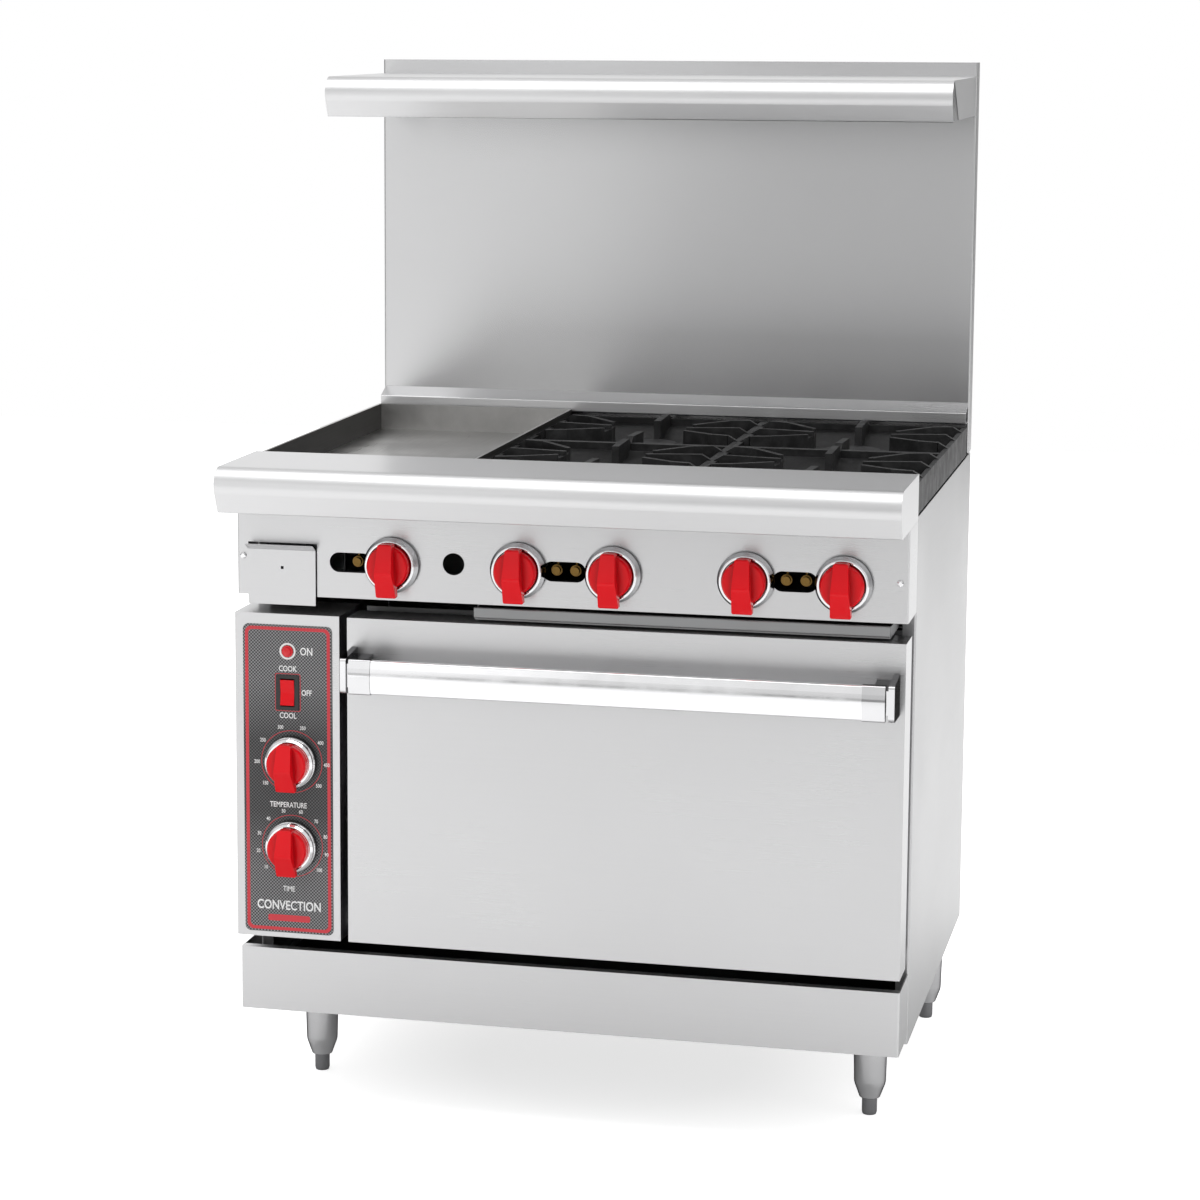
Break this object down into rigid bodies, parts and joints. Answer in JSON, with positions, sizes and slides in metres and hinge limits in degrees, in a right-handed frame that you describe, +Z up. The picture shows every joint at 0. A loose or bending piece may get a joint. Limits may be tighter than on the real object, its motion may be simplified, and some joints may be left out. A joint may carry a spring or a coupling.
{
  "type": "commercial gas range",
  "caption": "Free-standing stainless steel gas range with a griddle and open burners over a convection oven, with a tall splash back and high shelf.",
  "frame": {"origin": "on the floor, under the middle of the bounding box", "axes": "+Z up, the front faces -Y, +X is to the right of a person who faces the front"},
  "size_m": [0.9144, 0.86, 1.438],
  "materials": {
    "stainless": "brushed satin stainless sheet",
    "galvanised": "dull galvanised sheet",
    "enamel": "dark porcelain enamel",
    "plated_wire": "nickel plated wire",
    "cast_iron": "matte cast iron",
    "griddle_steel": "ground steel plate",
    "pipe_steel": "mill finish steel",
    "brass": "machined brass",
    "red_gloss": "glossy moulded red",
    "chrome": "polished",
    "foot_metal": "satin",
    "fascia": "satin printed plate",
    "black_plastic": "matte moulded black",
    "motor_paint": "black paint",
    "gasket": "woven heat seal"
  },
  "bodies": {
    "range": {"side_panel_left": "stainless", "side_panel_right": "stainless", "kick_plate": "stainless", "front_ledge": "stainless", "control_panel": "stainless", "convection_box": "stainless", "riser_panel": "stainless", "rear_ledge": "stainless", "high_shelf": "stainless", "shelf_brackets": "stainless", "base_frame": "galvanised", "back_panel": "galvanised", "burner_box": "galvanised", "oven_front_frame": "galvanised", "hinge_brackets": "galvanised", "oven_sides": "enamel", "oven_top": "enamel", "oven_floor": "enamel", "oven_back": "enamel", "fan_cover": "enamel", "rack_guides": "plated_wire", "burner_heads": "cast_iron", "burner_venturis": "cast_iron", "griddle": "griddle_steel", "gas_manifold": "pipe_steel", "griddle_burner": "pipe_steel", "oven_burner": "pipe_steel", "gas_valves": "brass", "pilots": "brass", "indicator_lamp": "red_gloss", "knob_bezels": "chrome", "legs": "chrome", "screws": "chrome", "control_fascia": "fascia", "rocker_frame": "black_plastic", "oven_controls": "black_plastic", "fan_motor": "motor_paint", "door_gasket": "gasket"},
    "door": {"door_shell": "stainless", "door_liner": "enamel", "door_hinge_leaves": "galvanised", "handle_bar": "chrome", "handle_brackets": "chrome"},
    "griddle_knob": {"knob_griddle": "red_gloss"},
    "rear_left_knob": {"knob_rear_left": "red_gloss"},
    "front_left_knob": {"knob_front_left": "red_gloss"},
    "rear_right_knob": {"knob_rear_right": "red_gloss"},
    "front_right_knob": {"knob_front_right": "red_gloss"},
    "temperature_dial": {"temperature_knob": "red_gloss"},
    "timer_dial": {"timer_knob": "red_gloss"},
    "rocker": {"fan_rocker": "red_gloss"},
    "drawer": {"grease_drawer": "stainless"},
    "tray": {"crumb_tray": "galvanised"},
    "rack": {"oven_rack": "plated_wire"},
    "fan": {"fan_wheel": "pipe_steel"},
    "grate_fl": {"grate_front_left": "cast_iron"},
    "grate_fr": {"grate_front_right": "cast_iron"},
    "grate_rl": {"grate_rear_left": "cast_iron"},
    "grate_rr": {"grate_rear_right": "cast_iron"},
    "feet_set": {"feet": "foot_metal"}
  },
  "joints": [
    {"name": "door_hinge", "type": "hinge", "parent": "range", "child": "door", "pos_m": [0, -0.312, 0.272], "axis": [1, 0, 0], "range_deg": [0, 90]},
    {"name": "griddle_knob_turn", "type": "hinge", "parent": "range", "child": "griddle_knob", "pos_m": [-0.238, -0.332, 0.774], "axis": [0, -1, 0], "range_deg": [0, 90]},
    {"name": "rear_left_knob_turn", "type": "hinge", "parent": "range", "child": "rear_left_knob", "pos_m": [-0.063, -0.332, 0.774], "axis": [0, -1, 0], "range_deg": [0, 90]},
    {"name": "front_left_knob_turn", "type": "hinge", "parent": "range", "child": "front_left_knob", "pos_m": [0.066, -0.332, 0.774], "axis": [0, -1, 0], "range_deg": [0, 90]},
    {"name": "rear_right_knob_turn", "type": "hinge", "parent": "range", "child": "rear_right_knob", "pos_m": [0.244, -0.332, 0.774], "axis": [0, -1, 0], "range_deg": [0, 90]},
    {"name": "front_right_knob_turn", "type": "hinge", "parent": "range", "child": "front_right_knob", "pos_m": [0.373, -0.332, 0.774], "axis": [0, -1, 0], "range_deg": [0, 90]},
    {"name": "temperature_dial_turn", "type": "hinge", "parent": "range", "child": "temperature_dial", "pos_m": [-0.377, -0.346, 0.498], "axis": [0, 1, 0], "range_deg": [0, 300]},
    {"name": "timer_dial_turn", "type": "hinge", "parent": "range", "child": "timer_dial", "pos_m": [-0.377, -0.346, 0.38], "axis": [0, 1, 0], "range_deg": [0, 330]},
    {"name": "rocker_tilt", "type": "hinge", "parent": "range", "child": "rocker", "pos_m": [-0.382, -0.344, 0.594], "axis": [1, 0, 0], "range_deg": [-10, 10]},
    {"name": "grease_drawer_slide", "type": "slide", "parent": "range", "child": "drawer", "axis": [0, -1, 0], "range_m": [0, 0.22]},
    {"name": "crumb_tray_slide", "type": "slide", "parent": "range", "child": "tray", "axis": [0, -1, 0], "range_m": [0, 0.45]},
    {"name": "oven_rack_slide", "type": "slide", "parent": "range", "child": "rack", "axis": [0, -1, 0], "range_m": [-0.014, 0.02]},
    {"name": "fan_spin", "type": "hinge", "parent": "range", "child": "fan", "pos_m": [0.08, 0.3, 0.467], "axis": [0, 1, 0], "continuous": true},
    {"name": "grate_front_left_lift", "type": "slide", "parent": "range", "child": "grate_fl", "axis": [0, 0, 1], "range_m": [0, 0.06]},
    {"name": "grate_front_right_lift", "type": "slide", "parent": "range", "child": "grate_fr", "axis": [0, 0, 1], "range_m": [0, 0.06]},
    {"name": "grate_rear_left_lift", "type": "slide", "parent": "range", "child": "grate_rl", "axis": [0, 0, 1], "range_m": [0, 0.06]},
    {"name": "grate_rear_right_lift", "type": "slide", "parent": "range", "child": "grate_rr", "axis": [0, 0, 1], "range_m": [0, 0.06]},
    {"name": "feet_extend", "type": "slide", "parent": "feet_set", "child": "range", "axis": [0, 0, 1], "range_m": [0, 0.025]}
  ]
}
